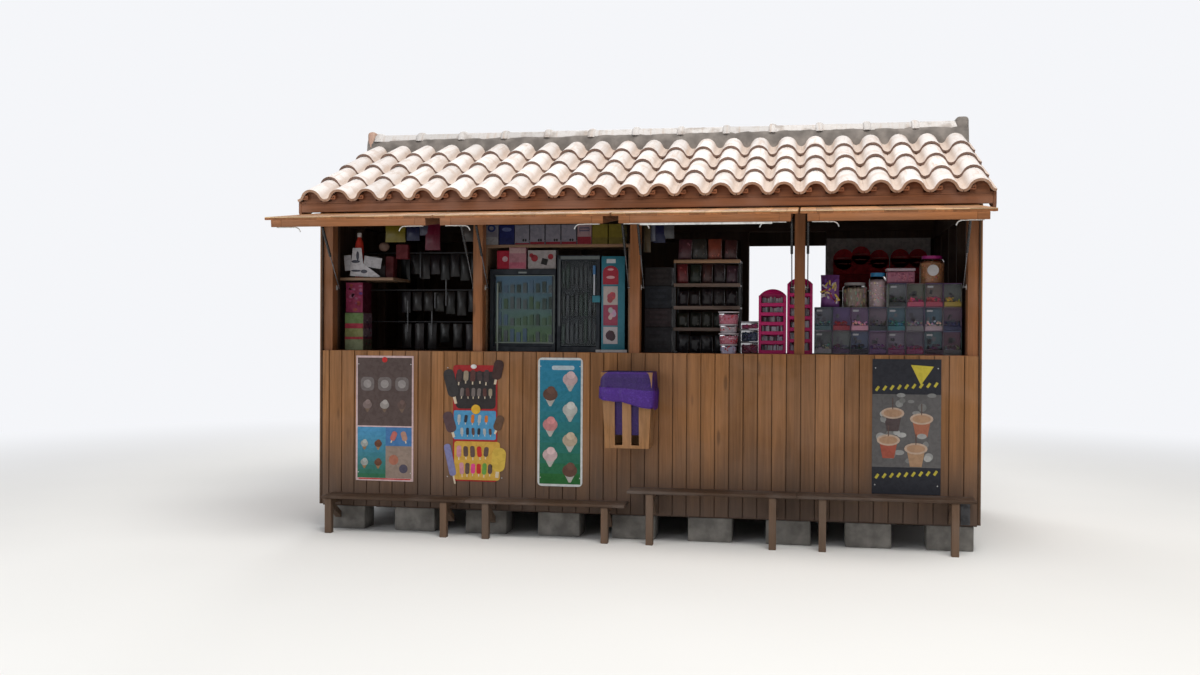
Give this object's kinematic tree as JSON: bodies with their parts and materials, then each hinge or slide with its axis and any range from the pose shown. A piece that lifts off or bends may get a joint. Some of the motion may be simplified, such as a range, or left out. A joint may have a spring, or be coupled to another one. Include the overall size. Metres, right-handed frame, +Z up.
{
  "type": "street kiosk",
  "caption": "Timber street kiosk with lifting serving flaps on gas struts, clay-tile gable roof, benches and a slatted litter bin.",
  "frame": {"origin": "centre of the walls' footprint, on level ground", "axes": "+X along the serving front to the right, -Y towards the customer, +Z up"},
  "size_m": [4.687, 3.5041, 3.0446],
  "materials": {
    "footing_concrete": "cast concrete, dusty",
    "frame_pine": "rough sawn pine, dark stained",
    "floor_pine": "planed pine boards",
    "post_pine": "planed pine, honey stain",
    "wall_pine": "tongued boards, honey stain, weathered",
    "deck_pine": "tongued boards, dark stain",
    "fascia_pine": "reddish brown stain",
    "flap_pine": "honey stain, weathered top",
    "bench_pine": "worn brown stain",
    "bin_pine": "planed slats, honey stain",
    "counter_pine": "worn varnish",
    "roof_clay": "fired clay, pale cream with tan streaks",
    "ridge_clay": "fired clay, mottled cream and grey",
    "ridge_mortar": "rough cement mortar",
    "zinc_iron": "white zinc coat",
    "strut_black": "black lacquer",
    "rod_steel": "polished rod",
    "bag_film": "thin purple film",
    "poster_print": "laminated print",
    "carton_print": "printed carton",
    "cabinet_metal": "painted sheet",
    "rack_metal": "black wire rack",
    "pink_plastic": "moulded pink plastic",
    "clear_plastic": "clear moulded plastic",
    "white_board": "pale panel"
  },
  "bodies": {
    "kiosk": {"back_board": "white_board", "back_boards_over_door": "wall_pine", "back_tiles": "roof_clay", "back_wall_boards": "wall_pine", "back_wall_frame": "frame_pine", "bargeboards": "fascia_pine", "base_frame": "frame_pine", "bin_bag": "bag_film", "candy_racks": "pink_plastic", "cartons": "carton_print", "counter_legs": "frame_pine", "counter_top": "counter_pine", "display_cabinets": "cabinet_metal", "drawer_units": "clear_plastic", "eave_combs": "fascia_pine", "fascias": "fascia_pine", "floor_boards": "floor_pine", "front_posts": "post_pine", "front_tiles": "roof_clay", "front_wall_boards": "wall_pine", "head_beams": "frame_pine", "header_board": "wall_pine", "inner_shelves": "frame_pine", "left_bench_frame": "bench_pine", "left_bench_seat": "bench_pine", "litter_bin": "bin_pine", "plinth_blocks": "footing_concrete", "post_ironwork": "zinc_iron", "posters": "poster_print", "ridge_mortar": "ridge_mortar", "ridge_tiles": "ridge_clay", "right_bench_frame": "bench_pine", "right_bench_seat": "bench_pine", "roof_beams": "frame_pine", "roof_decks": "deck_pine", "side_wall_boards": "wall_pine", "side_wall_frames": "frame_pine", "sill_rails": "frame_pine", "snack_rack": "rack_metal", "sweet_tubs": "clear_plastic"},
    "flap_1": {"flap_1_frame": "flap_pine", "flap_1_boards": "flap_pine", "flap_1_ironwork": "zinc_iron"},
    "flap_1_cylinders": {"flap_1_strut_cylinders": "strut_black"},
    "flap_1_rods": {"flap_1_strut_rods": "rod_steel"},
    "flap_2": {"flap_2_frame": "flap_pine", "flap_2_boards": "flap_pine", "flap_2_ironwork": "zinc_iron"},
    "flap_2_cylinders": {"flap_2_strut_cylinders": "strut_black"},
    "flap_2_rods": {"flap_2_strut_rods": "rod_steel"},
    "flap_3": {"flap_3_frame": "flap_pine", "flap_3_boards": "flap_pine", "flap_3_ironwork": "zinc_iron"},
    "flap_3_cylinders": {"flap_3_strut_cylinders": "strut_black"},
    "flap_3_rods": {"flap_3_strut_rods": "rod_steel"},
    "flap_4": {"flap_4_frame": "flap_pine", "flap_4_boards": "flap_pine", "flap_4_ironwork": "zinc_iron"},
    "flap_4_cylinders": {"flap_4_strut_cylinders": "strut_black"},
    "flap_4_rods": {"flap_4_strut_rods": "rod_steel"}
  },
  "joints": [
    {"name": "flap_1_hinge", "type": "hinge", "parent": "kiosk", "child": "flap_1", "pos_m": [-1.68375, -1.106, 2.288], "axis": [1, 0, 0], "range_deg": [0, 82.6]},
    {"name": "flap_1_strut_pivot", "type": "hinge", "parent": "flap_1", "child": "flap_1_cylinders", "pos_m": [-1.68375, -1.31818, 2.17473], "axis": [1, 0, 0], "range_deg": [-116.2, 0.05]},
    {"name": "flap_1_strut_slide", "type": "slide", "parent": "flap_1_cylinders", "child": "flap_1_rods", "axis": [0, 0.581, -0.8139], "range_m": [-0.21035, 0.0001]},
    {"name": "flap_2_hinge", "type": "hinge", "parent": "kiosk", "child": "flap_2", "pos_m": [-0.56125, -1.106, 2.288], "axis": [1, 0, 0], "range_deg": [0, 82.6]},
    {"name": "flap_2_strut_pivot", "type": "hinge", "parent": "flap_2", "child": "flap_2_cylinders", "pos_m": [-0.56125, -1.31818, 2.17473], "axis": [1, 0, 0], "range_deg": [-116.2, 0.05]},
    {"name": "flap_2_strut_slide", "type": "slide", "parent": "flap_2_cylinders", "child": "flap_2_rods", "axis": [0, 0.581, -0.8139], "range_m": [-0.21035, 0.0001]},
    {"name": "flap_3_hinge", "type": "hinge", "parent": "kiosk", "child": "flap_3", "pos_m": [0.56125, -1.106, 2.288], "axis": [1, 0, 0], "range_deg": [0, 82.6]},
    {"name": "flap_3_strut_pivot", "type": "hinge", "parent": "flap_3", "child": "flap_3_cylinders", "pos_m": [0.56125, -1.31818, 2.17473], "axis": [1, 0, 0], "range_deg": [-116.2, 0.05]},
    {"name": "flap_3_strut_slide", "type": "slide", "parent": "flap_3_cylinders", "child": "flap_3_rods", "axis": [0, 0.581, -0.8139], "range_m": [-0.21035, 0.0001]},
    {"name": "flap_4_hinge", "type": "hinge", "parent": "kiosk", "child": "flap_4", "pos_m": [1.68375, -1.106, 2.288], "axis": [1, 0, 0], "range_deg": [0, 82.6]},
    {"name": "flap_4_strut_pivot", "type": "hinge", "parent": "flap_4", "child": "flap_4_cylinders", "pos_m": [1.68375, -1.31818, 2.17473], "axis": [1, 0, 0], "range_deg": [-116.2, 0.05]},
    {"name": "flap_4_strut_slide", "type": "slide", "parent": "flap_4_cylinders", "child": "flap_4_rods", "axis": [0, 0.581, -0.8139], "range_m": [-0.21035, 0.0001]}
  ],
  "couplings": [
    {"joint": "flap_1_strut_pivot", "follows": "flap_1_hinge", "ratio": -1.4062},
    {"joint": "flap_1_strut_slide", "follows": "flap_1_hinge", "m_per_rad": -0.14584},
    {"joint": "flap_2_strut_pivot", "follows": "flap_2_hinge", "ratio": -1.4062},
    {"joint": "flap_2_strut_slide", "follows": "flap_2_hinge", "m_per_rad": -0.14584},
    {"joint": "flap_3_strut_pivot", "follows": "flap_3_hinge", "ratio": -1.4062},
    {"joint": "flap_3_strut_slide", "follows": "flap_3_hinge", "m_per_rad": -0.14584},
    {"joint": "flap_4_strut_pivot", "follows": "flap_4_hinge", "ratio": -1.4062},
    {"joint": "flap_4_strut_slide", "follows": "flap_4_hinge", "m_per_rad": -0.14584}
  ]
}
